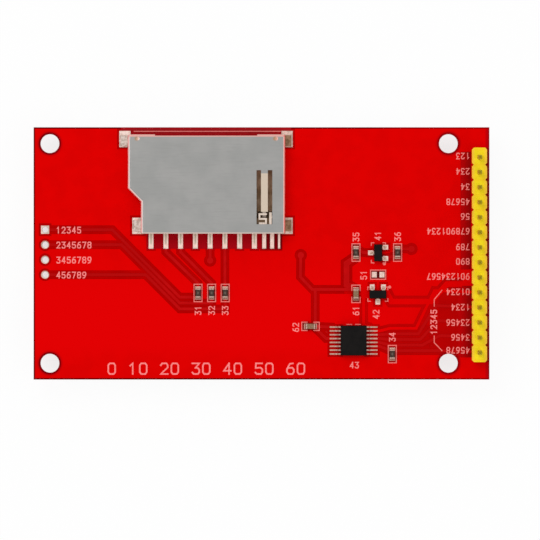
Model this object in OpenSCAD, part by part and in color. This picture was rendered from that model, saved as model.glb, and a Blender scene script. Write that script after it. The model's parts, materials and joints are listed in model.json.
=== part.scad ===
// Touch display module: a red circuit board with a memory card socket and a 14-way pin
// header, and a 2.4 inch touch display stuck to its front. It lies on its display face with
// the component side up.
// Origin: middle of the board outline, on the display face. +X runs to the pin header,
// +Y to the long edge where the card goes in, +Z up out of the component side.

/* [Circuit board] */
// Length of the board
board_len = 77.18; // [74:0.01:90]
// Width of the board
board_w = 42.72; // [42:0.01:50]
// Thickness of the board
board_t = 1.6; // [0.8:0.1:2.4]
// Thickness of the copper layer with the mask over it
copper_t = 0.05; // [0.03:0.01:0.1]
// Bare rim between the copper and the board's edge
copper_rim = 0.25; // [0.2:0.05:0.8]
// Clearance between the copper field and the tracks in it
copper_gap = 0.48; // [0.15:0.01:0.6]
// Clearance between the copper field and the pads in it
land_gap = 0.36; // [0.15:0.01:0.5]
// Width of a signal track
track_w = 0.5; // [0.25:0.05:0.7]
// Diameter of the four mounting holes
mount_hole_d = 3.2; // [2:0.1:3.6]
// Centres of the mounting holes from the left edge
mount_from_left = 2.75; // [2.4:0.05:3.5]
// Centres of the mounting holes from the header edge
mount_from_right = 6.93; // [6.6:0.01:7.4]
// Centres of the mounting holes from the long edges
mount_from_side = 2.76; // [2.4:0.01:3.5]
// Height of the solder on a pad above the copper
solder_h = 0.04; // [0.02:0.01:0.08]
// Height of the printed legend above the copper
legend_h = 0.02; // [0.01:0.01:0.04]
// Width of the printed legend's lines
legend_w = 0.15; // [0.12:0.01:0.25]

/* [Pin header] */
// Number of pins
pin_count = 14; // [8:1:14]
// Distance between pins
pin_pitch = 2.54; // [2:0.01:2.54]
// Width across the flats of a pin
pin_w = 0.64; // [0.5:0.01:0.7]
// Height of the plastic strip
strip_h = 2.54; // [1.5:0.01:3]
// Width of the plastic strip
strip_w = 2.54; // [2:0.01:2.54]
// Extra length of the strip at each end
strip_end = 0.35; // [0:0.05:0.5]
// Length of a pin above the plastic strip
pin_top = 6; // [3:0.1:9]
// Length of a pin below the board
pin_tail = 1.4; // [0.8:0.1:2]
// Centre of the pins from the header edge
pins_from_edge = 1.72; // [1.5:0.01:2]
// Middle of the row of pins above the board's middle line
pins_shift = -0.25; // [-0.6:0.01:0.2]

/* [Card socket] */
// Width of the room for the memory card
card_w = 24; // [22:0.1:26]
// Depth of the metal shell, from the card's mouth to its back
shell_d = 16.75; // [16.5:0.05:17]
// Height of the socket above the board
socket_h = 3; // [2.9:0.05:3.6]
// Thickness of the shell's sheet
sheet_t = 0.25; // [0.15:0.01:0.3]
// Middle of the shell left of the board's middle
shell_shift = -9.3; // [-10:0.1:-9]
// Mouth of the shell from the board's long edge
mouth_from_edge = 1.26; // [1:0.01:1.5]
// Thickness of the plastic floor under the card
floor_t = 0.4; // [0.3:0.05:0.5]
// Width of a card contact
contact_w = 0.75; // [0.6:0.05:1]
// Thickness of the contact springs
contact_t = 0.2; // [0.15:0.01:0.25]

/* [Display] */
// Length of the display unit
unit_len = 60.26; // [60:0.01:62]
// Left end of the display unit from the board's left edge
unit_from_left = 4.69; // [3:0.01:6]
// Diagonal of the picture area
picture_diag = 61.2; // [58:0.1:61.5]
// Thickness of the touch film
film_t = 0.2; // [0.1:0.05:0.3]
// Thickness of the touch glass
touch_glass_t = 0.7; // [0.5:0.05:1.1]
// Thickness of each of the display's two glass sheets
cell_glass_t = 0.5; // [0.3:0.05:0.7]
// Thickness of each polarizer
polarizer_t = 0.15; // [0.1:0.01:0.2]
// Thickness of the light guide
guide_t = 0.6; // [0.4:0.05:0.8]
// Thickness of the foam tape between the display unit and the board
foam_t = 0.8; // [0.6:0.05:1.2]
// Width of the main flex
flex_w = 22; // [14:0.5:23]
// Thickness of the flexes
flex_t = 0.12; // [0.08:0.01:0.14]

/* [Hidden] */
$fn = 48;
arc_steps = 12;
eps = 0.01;
small_gap = 0.1; // clearance round a part in its pocket

// --- heights, from the display face up ---
glue_t = 0.1; // touch panel's spacer
ring_t = 0.2; // adhesive ring round the picture
sheet_film_t = 0.1; // each thin optical sheet
rim_tape_t = 0.06;
z_touch_glass = film_t + glue_t;
z_ring = z_touch_glass + touch_glass_t;
z_cell = z_ring + ring_t;
z_color_glass = z_cell + polarizer_t;
z_tft_glass = z_color_glass + cell_glass_t;
z_rear_polarizer = z_tft_glass + cell_glass_t;
z_shelf = z_rear_polarizer + rim_tape_t;
z_prism = z_rear_polarizer + polarizer_t + small_gap;
z_diffuser = z_prism + sheet_film_t;
z_guide = z_diffuser + sheet_film_t;
z_reflector = z_guide + guide_t;
z_unit_back = z_reflector + sheet_film_t;
board_z = z_unit_back + foam_t;
board_top = board_z + board_t;
land_top = board_top + solder_h;

// --- places on the board ---
left = -board_len / 2;
right = board_len / 2;
front = board_w / 2;
mounts = [for (x = [left + mount_from_left, right - mount_from_right])
    for (s = [-1, 1]) [x, s * (front - mount_from_side)]];
pins_x = right - pins_from_edge;
function pin_y(i) = pins_shift + ((pin_count - 1) / 2 - i) * pin_pitch;
pin_hole_d = pin_w * sqrt(2) + 0.12;
// bare patch with a bracket in it, round the labels of the touch pins
bracket_r = pins_x - 5.97;
bracket_l = bracket_r - 2;

// row of open holes with pads, which repeats the card's signals
aux_count = 4;
aux_x = left + 1.94;
aux_hole_d = 1;
aux_pad_w = 1.4;
function aux_y(i) = 4.01 - i * pin_pitch;

// card socket
rail_l = 0.6; // plastic rail and wall beside the card, left and right
rail_r = 2;
shell_w = rail_l + card_w + rail_r;
shell_l = shell_shift - shell_w / 2;
shell_r = shell_shift + shell_w / 2;
shell_f = front - mouth_from_edge;
shell_b = shell_f - shell_d;
card_l = shell_l + rail_l;
card_r = card_l + card_w;
card_play = 0.3;
bend_r = 0.5;
corner_step = 2.2; // how far the back left corner is cut in
corner_front = shell_b + 7.65;
corner_back = shell_b + 5.4;
lip_l = shell_l + 4.6; // the mouth is set back between the two lips
lip_r = shell_r - 4.7;
lip_d = 0.2;
slot_l = shell_r - 4.84; // window over the lock spring
slot_w = 2.67;
slot_b = shell_b + 1.58;
slot_len = 9.14;
tail_len = 2.4;
land_over = 0.15; // how far a land reaches past a contact's tail
// middle, width and reach of each contact: eight at one pitch, the last signal and two switches
contact_rise = 0.9; // from the back of the shell to where a contact leaves the board
contact_reach = 8;
switch_reach = 3;
contact_count = 8;
contact_x0 = card_l + 3.3;
contact_pitch = (card_r - 3.2 - contact_x0) / (contact_count - 1);
contacts = [for (i = [0:contact_count - 1])
    [contact_x0 + i * contact_pitch, contact_w, contact_reach]];
side_contacts = [[card_r - 1.54, 0.6, contact_reach], [card_r - 0.2, 0.6, switch_reach],
    [card_r + 0.98, 0.3, switch_reach]];
tail_end = shell_b - tail_len;
function foot_w(f) = f[0] > 0 ? 1 : 1.2;
foot_len = 1.8;
foot_land_w = 1.9;
foot_land_len = 2.75;
// solder feet of the shell: side, lower end of the foot, and lower end of its land
feet = [for (s = [-1, 1]) each [[s, shell_f - foot_len - 0.1, shell_f - 2.1],
    [s, shell_b + 0.45, shell_b - 0.05]]];
function foot_edge(f) = f[0] > 0 ? shell_r : f[1] < corner_back ? shell_l + corner_step : shell_l;

// chip resistors and capacitors: middle and turn
chip_len = 1.6;
chip_w = 0.85;
resistor_t = 0.45;
capacitor_t = 0.8;
chip_end = 0.25;
chip_land = 0.95;
pull_ups = [for (i = [0:2]) [-10.75 + i * 2.3, -6.7, 90]];
resistors = concat(pull_ups, [[22.15, -17.05, 90], [16, 0.15, 90], [23.05, 0.15, 90]]);
capacitors = [[16, -6.85, 90], [8.3, -12.35, 0]];
jumper = [19.75, -3.6];

// small transistor packages: middle and turn, with the single lead on -X before the turn
transistor_at = [19.75, 0.1, 0];
regulator_at = [19.7, -6.95, 90];
sot_len = 2.9;
sot_w = 1.4;
sot_h = 1;
sot_pitch = 1.9;
sot_span = 2.5;
stand_off = 0.1;

// touch controller
touch_chip_at = [15.6, -14.75];
touch_chip_size = [4.4, 5.1, 0.95];
touch_chip_leads = 8;
lead_pitch = 0.65;
lead_w = 0.22;
lead_t = 0.16;
lead_span = 6.4;
lead_land = 8.1;
function lead_y(i) = touch_chip_at[1] + ((touch_chip_leads - 1) / 2 - i) * lead_pitch;

// display unit
unit_l = left + unit_from_left;
unit_r = unit_l + unit_len;
picture_len = picture_diag * 4 / 5;
picture_l = unit_l + 3.3;
cell_w = board_w - 3.2;
cell_l = unit_l + 1.4;
color_glass_r = picture_l + picture_len + 2;
tft_glass_r = unit_r - 1.4;
pocket_l = cell_l + 0.9;
pocket_w = cell_w - 1.8;
pocket_r = tft_glass_r - 0.9;
guide_r = pocket_r - 1.9;
led_count = 4;
led_pitch = pocket_w / 5;
led_w = led_pitch / 2;
led_d = 1;
touch_flex_w = 4;
touch_flex_y = flex_w / 2 + 1.2 + touch_flex_w / 2;
foam_w = 5;

// ---------- drawing helpers ----------

// closed outline of a strip of width w along a route, with mitred corners
function unit(v) = v / norm(v);
function side(v) = [-v[1], v[0]];
function dir(p, i) = i == 0 ? unit(p[1] - p[0]) : i == len(p) - 1 ? unit(p[i] - p[i - 1])
    : unit(unit(p[i] - p[i - 1]) + unit(p[i + 1] - p[i]));
function stretch(p, i) = i == 0 || i == len(p) - 1 ? 1 : 1 / (dir(p, i) * unit(p[i] - p[i - 1]));
function rail(p, w) = [for (i = [0:len(p) - 1]) p[i] + side(dir(p, i)) * stretch(p, i) * w / 2];
function strip(p, w) = concat(rail(p, w), [for (i = [len(p) - 1:-1:0]) rail(p, -w)[i]]);

function arc(c, r, a0, a1) = [for (i = [0:arc_steps])
    let (a = a0 + (a1 - a0) * i / arc_steps) c + r * [cos(a), sin(a)]];

module place(at) translate([at[0], at[1], 0]) rotate(at[2]) children();

module slab(x0, x1, y0, y1, z0, z1) translate([x0, y0, z0]) cube([x1 - x0, y1 - y0, z1 - z0]);

// a sheet of the display unit, as wide as w about the middle line
module layer(x0, x1, w, z, t) slab(x0, x1, -w / 2, w / 2, z, z + t);

module frame_ring(x0, x1, w, wall, z, t) difference() {
    layer(x0, x1, w, z, t);
    layer(x0 + wall, x1 - wall, w - 2 * wall, z - 1, t + 2);
}

// ---------- circuit board ----------

// three card signals run side by side, one lane apart, down a diagonal to the pull-ups
lane = 1.4 * track_w * sqrt(2);
function diagonal(i) = -21.25 - i * lane; // x + y along lane i
function card_run(i, hole, y_end, p) = [
    [aux_x, aux_y(hole)], [diagonal(i) - aux_y(hole), aux_y(hole)],
    [diagonal(i) - y_end, y_end], [p[0], y_end], [p[0], p[1] - 0.6]];
// touch signals spread between the chip and the header
function fan_y(i) = lead_y(0) - 0.2 - i * 0.95;
function touch_run(i) = [
    [touch_chip_at[0] + 3.4, lead_y(i + 1)], [touch_chip_at[0] + 4.4, lead_y(i + 1)],
    [touch_chip_at[0] + 6.2, fan_y(i)], [pins_x - 10.67 + i * 0.35, fan_y(i)],
    [pins_x - 7.57 + i * 0.3, pin_y(9 + i) + 0.3], [pins_x, pin_y(9 + i)]];

tracks = concat(
    [card_run(0, 0, -7.4, pull_ups[0]), card_run(1, 1, -8.4, pull_ups[1]),
        card_run(2, 3, -9.4, pull_ups[2])],
    // card contacts to the upper ends of the pull-ups
    [for (i = [0, 1]) [[contacts[i + 1][0], tail_end], [contacts[i + 1][0], 0.25],
        [pull_ups[i][0], -5.05], [pull_ups[i][0], -6]]],
    [[[contacts[4][0], tail_end], [contacts[4][0], -1.3]],
    [[contacts[5][0], tail_end], [contacts[5][0], -5.9]],
    // supply of the touch controller
    [[6.65, 0.2], [6.6, -4], [8.6, -6.1], [14.5, -6.1], [16, -6.1]],
    [[9.1, -6.1], [9.1, -11.9]],
    [[9.1, -12.35], [12.4, -12.5]],
    [[9.1, -12.6], [10.9, -14.4], [12.4, -14.4]],
    [[17.3, -7.6], [17.3, -12.1], [18.5, -12.5]],
    // lamp switch and its two resistors
    [[16, 0.85], [17.2, 0.15], [18.5, 0.1]],
    [[20.9, -0.85], [22, -0.55], [23.05, -0.55]],
    [[23.05, 0.85], [24.4, 0.75], [25.6, 0.75]]],
    [for (i = [0:4]) touch_run(i)]);
wide_tracks = [
    [[20.7, -5.75], [22, -8.15], [28.7, -8.15], [31.4, -5.2], [34, -5.2]],
    [[15.9, -0.7], [14.4, -1.7], [14.4, -5.3], [15.9, -6.1]]];

via_d = 1.1;
vias = [[6.65, -0.3], [contacts[4][0], -1.2], [25.4, 0.75]];

module copper_field() difference() {
    square([board_len - 2 * copper_rim, board_w - 2 * copper_rim], center = true);
    for (m = mounts) translate(m) circle(d = mount_hole_d + 0.6);
    // clear of the tracks
    for (t = tracks) polygon(strip(t, track_w + 2 * copper_gap));
    for (t = wide_tracks) polygon(strip(t, 2 * track_w + 2 * copper_gap));
    for (v = vias) translate(v) circle(d = via_d + 2 * copper_gap);
    land_shapes(land_gap);
    // bare strips: along the header's labels, round the touch labels, before the card's mouth
    // and under the contacts' tails
    translate([pins_x - 3.15, pin_y(7) - 1.2]) square([1.75, (pin_count - 6) * pin_pitch - 0.4]);
    polygon([[bracket_r, -5.5], [pins_x - 1.3, -5.5], [pins_x - 1.3, -17.6], [bracket_r, -17.6],
        [bracket_l, -15.6], [bracket_l, -7.5]]);
    translate([shell_l + 0.3, shell_f - lip_d]) square([shell_w - 1, 1.1 + lip_d]);
    translate([contacts[0][0] - 0.7, tail_end - land_over])
        square([side_contacts[2][0] - contacts[0][0] + 1.1, tail_len + land_over + 0.5]);
    for (i = [0:aux_count - 1]) translate([aux_x, aux_y(i)]) circle(d = aux_pad_w + 2 * land_gap);
    translate([aux_x, aux_y(0)]) square(aux_pad_w + 2 * land_gap, center = true);
}

// footprints of all the lands, grown by g
module land_shapes(g) {
    for (p = concat(resistors, capacitors)) place(p) chip_land_shapes(g);
    for (s = [-1, 1]) translate([jumper[0] + s * 0.65, jumper[1]])
        square([0.85 + 2 * g, 0.95 + 2 * g], center = true);
    for (p = [transistor_at, regulator_at]) place(p) sot_land_shapes(g);
    for (s = [-1, 1], i = [0:touch_chip_leads - 1])
        translate([touch_chip_at[0] + s * (lead_land + touch_chip_size[0]) / 4, lead_y(i)])
            square([(lead_land - touch_chip_size[0]) / 2 + 2 * g, lead_w + 0.03 + 2 * g], center = true);
    for (c = concat(contacts, side_contacts))
        translate([c[0] - contact_land_w(c) / 2 - g, tail_end - land_over - g])
            square([contact_land_w(c) + 2 * g, tail_len + land_over + g]);
    for (f = feet) foot_land_shape(f, g);
}

function contact_land_w(c) = c[1] + 0.08;

module chip_land_shapes(g) for (s = [-1, 1])
    translate([s * (chip_len - chip_end) / 2 + s * 0.15, 0])
        square([chip_end + 0.3 + 2 * g, chip_land + 2 * g], center = true);

module sot_land_shapes(g) {
    translate([-sot_span / 2, 0]) square([0.9 + 2 * g, 0.8 + 2 * g], center = true);
    for (s = [-1, 1]) translate([sot_span / 2, s * sot_pitch / 2])
        square([0.9 + 2 * g, 0.8 + 2 * g], center = true);
}

module foot_land_shape(f, g)
    translate([foot_edge(f) + f[0] * (foot_w(f) + 0.28 - foot_land_w / 2), f[2] + foot_land_len / 2])
        square([foot_land_w + 2 * g, foot_land_len + 2 * g], center = true);

module circuit_board() color([0.86, 0.03, 0.03]) difference() {
    union() {
        translate([0, 0, board_z]) linear_extrude(board_t - copper_t)
            square([board_len, board_w], center = true);
        translate([0, 0, board_top - copper_t]) linear_extrude(copper_t) {
            copper_field();
            for (t = tracks) polygon(strip(t, track_w));
            for (t = wide_tracks) polygon(strip(t, 2 * track_w));
            for (v = vias) translate(v) circle(d = via_d);
        }
    }
    for (m = mounts) drill(m, mount_hole_d);
    for (i = [0:pin_count - 1]) drill([pins_x, pin_y(i)], pin_hole_d);
    for (i = [0:aux_count - 1]) drill([aux_x, aux_y(i)], aux_hole_d);
    // the lands take the place of the copper under them
    translate([0, 0, board_top - copper_t]) linear_extrude(2 * copper_t) land_shapes(0);
    for (i = [0:aux_count - 1]) aux_plate(i, board_top - copper_t, 1);
}

module drill(at, d) translate([at[0], at[1], board_z - 1]) cylinder(d = d, h = board_t + 2);

// flat pad round an open hole, the first one square
module aux_plate(i, z, t) translate([aux_x, aux_y(i), z]) {
    if (i == 0) translate([-aux_pad_w / 2, -aux_pad_w / 2, 0]) cube([aux_pad_w, aux_pad_w, t]);
    else cylinder(d = aux_pad_w, h = t);
}

// tinned pads of the open holes, on both sides of the board
module hole_pads() color([0.85, 0.85, 0.87]) for (i = [0:aux_count - 1]) difference() {
    union() {
        aux_plate(i, board_top - copper_t, copper_t + solder_h);
        aux_plate(i, board_z - solder_h, solder_h);
    }
    drill([aux_x, aux_y(i)], aux_hole_d);
}

module solder_lands() color([0.8, 0.8, 0.82]) {
    translate([0, 0, board_top - copper_t]) linear_extrude(copper_t + solder_h) land_shapes(0);
    for (p = resistors) place(p) chip_fillets(resistor_t);
    for (p = capacitors) place(p) chip_fillets(capacitor_t);
}

// solder rising up the two ends of a chip
module chip_fillets(t) for (s = [0, 180]) rotate(s)
    translate([chip_len / 2, chip_w / 2, land_top]) rotate([90, 0, 0]) linear_extrude(chip_w)
        polygon(concat([[0, -eps], [0, t * 0.7]], arc_down(0.28, t * 0.7), [[0.28, -eps]]));

// hollow quarter curve from [0, h] down to [w, 0]
function arc_down(w, h) = [for (i = [1:5]) let (a = 180 + 90 * i / 5) [w + w * cos(a), h + h * sin(a)]];

module header_solder() color([0.8, 0.8, 0.82]) difference() {
    for (i = [0:pin_count - 1]) translate([pins_x, pin_y(i), 0]) {
        translate([0, 0, board_z]) cylinder(d = pin_hole_d, h = board_t);
        rotate_extrude() polygon([[0, board_z], [0.95, board_z], [0.6, board_z - 0.3],
            [0.42, board_z - 0.9], [0, board_z - 0.9]]);
    }
    for (i = [0:pin_count - 1]) pin_prism(i, 0);
}

// ---------- printed legend: frames and lines only ----------

module box_lines(w, h) difference() {
    square([w + legend_w, h + legend_w], center = true);
    square([w - legend_w, h - legend_w], center = true);
}

module dashed_box(w, h) difference() {
    box_lines(w, h);
    square([w / 3, h * 2], center = true);
}

module corner_lines(w, h) difference() {
    box_lines(w, h);
    square([w - 1, h * 2], center = true);
    square([w * 2, h - 1], center = true);
}

module legend() color([0.98, 0.9, 0.9]) translate([0, 0, board_top]) linear_extrude(legend_h)
    difference() {
        legend_lines();
        land_shapes(0.05);
    }

module legend_lines() {
    for (p = resistors) place(p) box_lines(2.95, 1.35);
    for (p = capacitors) place(p) dashed_box(2.95, 1.4);
    translate(jumper) box_lines(2.55, 1.55);
    for (p = [transistor_at, regulator_at]) place(p) translate([0.05, 0]) corner_lines(2.4, 3.4);
    translate([transistor_at[0] + 1.05, transistor_at[1] - 1.86]) circle(d = 0.5);
    translate([regulator_at[0] + 2, regulator_at[1] + 1.25]) circle(d = 0.5);
    for (s = [-1, 1]) translate([touch_chip_at[0] + s * 0.75,
        touch_chip_at[1] + touch_chip_size[1] / 2 + 0.17]) square([0.95, legend_w], center = true);
    // line before the card's mouth
    translate([shell_l + 0.95, shell_f + 0.5]) square([shell_w - 1.7, legend_w]);
    // bracket round the touch labels
    polygon(strip([[bracket_r - 0.3, -6.2], [bracket_l + 0.35, -7.8], [bracket_l + 0.35, -9]],
        legend_w));
    polygon(strip([[bracket_l + 0.35, -13.9], [bracket_l + 0.35, -15.1], [bracket_r - 0.3, -16.5]],
        legend_w));
}

// ---------- pin header ----------

module header_strip() color([0.98, 0.83, 0.1]) difference() {
    translate([0, 0, board_top]) linear_extrude(strip_h) {
        for (i = [0:pin_count - 1]) translate([pins_x, pin_y(i)]) polygon(header_block());
        for (i = [0, pin_count - 1]) translate([pins_x, pin_y(i) + (i == 0 ? strip_end : -strip_end)])
            polygon(header_block());
    }
    for (i = [0:pin_count - 1]) pin_prism(i, 0);
}

// plan of one block of the strip, with its four corners cut off
function header_block() = let (a = strip_w / 2, b = pin_pitch / 2 + eps, c = 0.32) [[a, c - b],
    [a, b - c], [a - c, b], [c - a, b], [-a, b - c], [-a, c - b], [c - a, -b], [a - c, -b]];

pin_foot = board_z - pin_tail;
pin_tip = board_top + strip_h + pin_top;
point_h = 0.5;
pin_edge = [[pin_w / 5, pin_foot], [pin_w / 2, pin_foot + point_h], [pin_w / 2, pin_tip - point_h],
    [pin_w / 5, pin_tip]];

module pin_prism(i, cut) translate([pins_x, pin_y(i), pin_foot + cut])
    linear_extrude(pin_tip - pin_foot - 2 * cut) square(pin_w, center = true);

// square pin with four bevels at each end
module header_pin(i) color([0.85, 0.78, 0.5]) intersection() {
    pin_prism(i, 0);
    translate([pins_x, pin_y(i), 0]) pin_profile();
    translate([pins_x, pin_y(i), 0]) rotate(90) pin_profile();
}

module pin_profile() rotate([90, 0, 0]) translate([0, 0, -pin_w]) linear_extrude(2 * pin_w)
    polygon(concat(pin_edge, [for (i = [3:-1:0]) [-pin_edge[i][0], pin_edge[i][1]]]));

// ---------- card socket ----------

function shell_plan() = [[shell_l, shell_f], [shell_l, corner_front],
    [shell_l + corner_step, corner_back], [shell_l + corner_step, shell_b], [shell_r, shell_b],
    [shell_r, shell_f]];

// side wall of the shell: a bend and a leg, along an edge of its plan
module flap(a, b, cut_a, cut_b) {
    along = unit(b - a);
    len_ab = norm(b - a) - cut_a - cut_b;
    outer = arc([bend_r, socket_h - bend_r], bend_r, 180, 90);
    inner = arc([bend_r, socket_h - bend_r], bend_r - sheet_t, 90, 180);
    translate([a[0] + along[0] * cut_a, a[1] + along[1] * cut_a, board_top])
        rotate(atan2(along[1], along[0])) rotate([90, 0, 90]) linear_extrude(len_ab)
            polygon(concat([[0, small_gap]], outer, [[bend_r + 0.3, socket_h],
                [bend_r + 0.3, socket_h - sheet_t]], inner, [[sheet_t, small_gap]]));
}

module card_shell() color([0.64, 0.64, 0.63]) difference() {
    folded_sheet();
    // dimples behind the two lips
    for (x = [shell_l + 1.7, shell_r - 1.5])
        translate([x, shell_f - 0.7, board_top + socket_h - sheet_t / 2]) cylinder(d = 0.6, h = 1);
}

module folded_sheet() {
    p = shell_plan();
    translate([0, 0, board_top + socket_h - sheet_t]) linear_extrude(sheet_t) difference() {
        polygon([[shell_l + bend_r, shell_f], [shell_l + bend_r, corner_front + 0.2],
            [shell_l + corner_step + bend_r, corner_back + 0.2],
            [shell_l + corner_step + bend_r, shell_b], [shell_r - bend_r, shell_b],
            [shell_r - bend_r, shell_f]]);
        translate([lip_l, shell_f - lip_d]) square([lip_r - lip_l, 1]);
        translate([slot_l, slot_b]) square([slot_w, slot_len]);
    }
    // tongue that presses down on the lock spring
    translate([slot_l + 0.76, slot_b + 2.1, board_top + socket_h - sheet_t])
        cube([1.15, slot_len - 2.1 + 0.3, sheet_t]);
    flap(p[0], p[1], 0.05, 0.1);
    flap(p[1], p[2], 0.15, 0.15);
    flap(p[2], p[3], 0.1, 0.05);
    flap(p[4], p[5], 0.05, 0.05);
    for (f = feet) foot(f);
}

// solder foot: bent out from the wall on to its land
module foot(f) {
    x = foot_edge(f);
    inside = x - f[0] * sheet_t;
    outside = x + f[0] * foot_w(f);
    slab(min(inside, outside), max(inside, outside), f[1], f[1] + foot_len, land_top,
        land_top + sheet_t);
}

// plastic body: floor, back block and side rails, with a groove for each contact
module card_body() color([0.16, 0.12, 0.1]) {
    body_h = socket_h - sheet_t - small_gap;
    wall = sheet_t + small_gap;
    foot_clear = land_top + sheet_t + small_gap - board_top;
    difference() {
        translate([0, 0, board_top]) linear_extrude(body_h) polygon([[shell_l + wall, shell_f - 0.6],
            [shell_l + wall, corner_front + 0.2], [shell_l + corner_step + wall, corner_back + 0.2],
            [shell_l + corner_step + wall, shell_b + 0.1], [shell_r - wall, shell_b + 0.1],
            [shell_r - wall, shell_f - 0.6]]);
        // room for the card, with its cut corner
        translate([0, 0, board_top + floor_t]) linear_extrude(socket_h) difference() {
            translate([card_l, shell_b + 2.6]) square([card_w + card_play, shell_d]);
            polygon([[card_l - 1, shell_b], [card_l - 1, corner_front + 0.9],
                [card_l, corner_front + 0.9], [card_l + 2.75, shell_b + 3.8],
                [card_l + 2.75, shell_b]]);
        }
        for (c = concat(contacts, side_contacts)) contact_groove(c);
        for (f = feet) translate([foot_edge(f) - 0.7, f[2] - small_gap, board_top - 1])
            cube([1.4, foot_land_len + 2 * small_gap, foot_clear + 1]);
        // seat of the lock spring
        translate([slot_l, slot_b - small_gap, lock_z]) cube([slot_w, 3, 1]);
    }
}

lock_t = 0.2;
lock_z = board_top + socket_h - sheet_t - 0.15 - lock_t;

// tunnel for the tail, pit where the spring rises and a shallow groove under the rest of it
module contact_groove(c) translate([c[0] - c[1] / 2 - small_gap, shell_b, board_top]) {
    w = c[1] + 2 * small_gap;
    translate([0, -1, -1]) cube([w, contact_rise + 0.95, 1.4]);
    translate([0, contact_rise - 0.1, -1]) cube([w, 0.8, floor_t + 2.05]);
    translate([0, contact_rise, floor_t / 2]) cube([w, c[2] - contact_rise + 0.5, floor_t / 2 + 1.05]);
}

// spring that runs from its tail, under the back block, up into the card's room
module contact(c) {
    z0 = land_top - board_top + contact_t / 2;
    route = [[tail_end, z0], [shell_b + contact_rise, z0], [shell_b + contact_rise + 0.6, floor_t + 0.1],
        [shell_b + c[2] - 0.8, floor_t + 0.8], [shell_b + c[2], floor_t + 0.45]];
    translate([c[0] - c[1] / 2, 0, board_top]) rotate([90, 0, 90]) linear_extrude(c[1])
        polygon(strip(route, contact_t));
}

module card_contacts() color([0.83, 0.8, 0.7]) for (c = contacts) contact(c);

module switch_contacts() color([0.83, 0.8, 0.7]) for (c = side_contacts) contact(c);

// lock spring under the shell's window: a folded end and a straight bar
module lock_spring() color([0.78, 0.76, 0.7])
    translate([0, 0, lock_z]) linear_extrude(lock_t) {
        polygon(strip([[slot_l + 1.75, slot_b + 1.7], [slot_l + 0.5, slot_b + 1.7],
            [slot_l + 0.5, slot_b + 0.9], [slot_l + 1.6, slot_b + 0.9], [slot_l + 1.6, slot_b + 0.15],
            [slot_l + 0.4, slot_b + 0.15]], 0.3));
        translate([slot_l + 2.15, slot_b]) square([0.42, 2]);
    }

// ---------- small packages ----------

module chip(t) translate([chip_end - chip_len / 2, -chip_w / 2, land_top])
    cube([chip_len - 2 * chip_end, chip_w, t]);

module resistor(i) color([0.06, 0.06, 0.07]) place(resistors[i]) chip(resistor_t);
module capacitor(i) color([0.55, 0.42, 0.3]) place(capacitors[i]) chip(capacitor_t);

module end_caps(list, t) for (p = list, s = [0, 180]) place(p) rotate(s)
    translate([chip_len / 2 - chip_end, -chip_w / 2, land_top]) cube([chip_end, chip_w, t]);
module chip_ends() color([0.8, 0.8, 0.82]) {
    end_caps(resistors, resistor_t);
    end_caps(capacitors, capacitor_t);
}

// moulded body with sloping ends above and below its leads
module moulded(w, l, h) translate([0, 0, land_top + stand_off]) intersection() {
    rotate([90, 0, 0]) translate([0, 0, -l]) linear_extrude(2 * l) moulded_section(w, h);
    rotate([90, 0, 90]) translate([0, 0, -w]) linear_extrude(2 * w) moulded_section(l, h);
}

module moulded_section(w, h) polygon([[-w / 2 + 0.08, 0], [w / 2 - 0.08, 0], [w / 2, h * 0.45],
    [w / 2, h * 0.55], [w / 2 - 0.1, h], [-w / 2 + 0.1, h], [-w / 2, h * 0.55], [-w / 2, h * 0.45]]);

// gull-wing lead, from a body's side at x0 out to x1, h above its land
module lead(x0, x1, w, h, t) translate([0, w / 2, land_top]) rotate([90, 0, 0]) linear_extrude(w)
    polygon(strip([[x0, h], [x0 + (x1 - x0) * 0.3, h], [x0 + (x1 - x0) * 0.5, t / 2], [x1, t / 2]], t));

module sot_leads() {
    rotate(180) lead(sot_w / 2, sot_span / 2 + 0.15, 0.45, stand_off + sot_h / 2, 0.15);
    for (s = [-1, 1]) translate([0, s * sot_pitch / 2, 0])
        lead(sot_w / 2, sot_span / 2 + 0.15, 0.45, stand_off + sot_h / 2, 0.15);
}

module transistor() color([0.07, 0.07, 0.08]) place(transistor_at) moulded(sot_w, sot_len, sot_h);
module regulator() color([0.07, 0.07, 0.08]) place(regulator_at) moulded(sot_w, sot_len, sot_h);
module transistor_leads() color([0.8, 0.8, 0.82])
    for (p = [transistor_at, regulator_at]) place(p) sot_leads();

module touch_chip() color([0.07, 0.07, 0.08]) translate(touch_chip_at)
    moulded(touch_chip_size[0], touch_chip_size[1], touch_chip_size[2]);

module touch_chip_leads() color([0.8, 0.8, 0.82]) for (s = [0, 180], i = [0:touch_chip_leads - 1])
    translate([touch_chip_at[0], lead_y(i), 0]) rotate(s)
        lead(touch_chip_size[0] / 2, lead_span / 2, lead_w, stand_off + touch_chip_size[2] / 2, lead_t);

// ---------- display unit, from the face to its back ----------

module touch_film() color([0.75, 0.78, 0.8]) layer(unit_l, unit_r, board_w, 0, film_t);

// ring of glue that keeps the film off the glass, open where the touch flex leaves
module touch_spacer() color([0.2, 0.2, 0.2]) difference() {
    frame_ring(unit_l, unit_r, board_w, 2, film_t, glue_t);
    slab(unit_r - 3, unit_r + 1, touch_flex_y - touch_flex_w / 2 - small_gap,
        touch_flex_y + touch_flex_w / 2 + small_gap, 0, z_cell);
}

module touch_glass() color([0.7, 0.8, 0.8]) layer(unit_l, unit_r, board_w, z_touch_glass, touch_glass_t);

module picture_ring() color([0.1, 0.1, 0.1]) frame_ring(unit_l, unit_r, board_w, 1.6, z_ring, ring_t);

module front_polarizer() color([0.15, 0.15, 0.18])
    layer(cell_l + small_gap, color_glass_r - small_gap, cell_w - 2 * small_gap, z_cell, polarizer_t);

module color_glass() color([0.6, 0.7, 0.7])
    layer(cell_l, color_glass_r, cell_w, z_color_glass, cell_glass_t);

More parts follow.
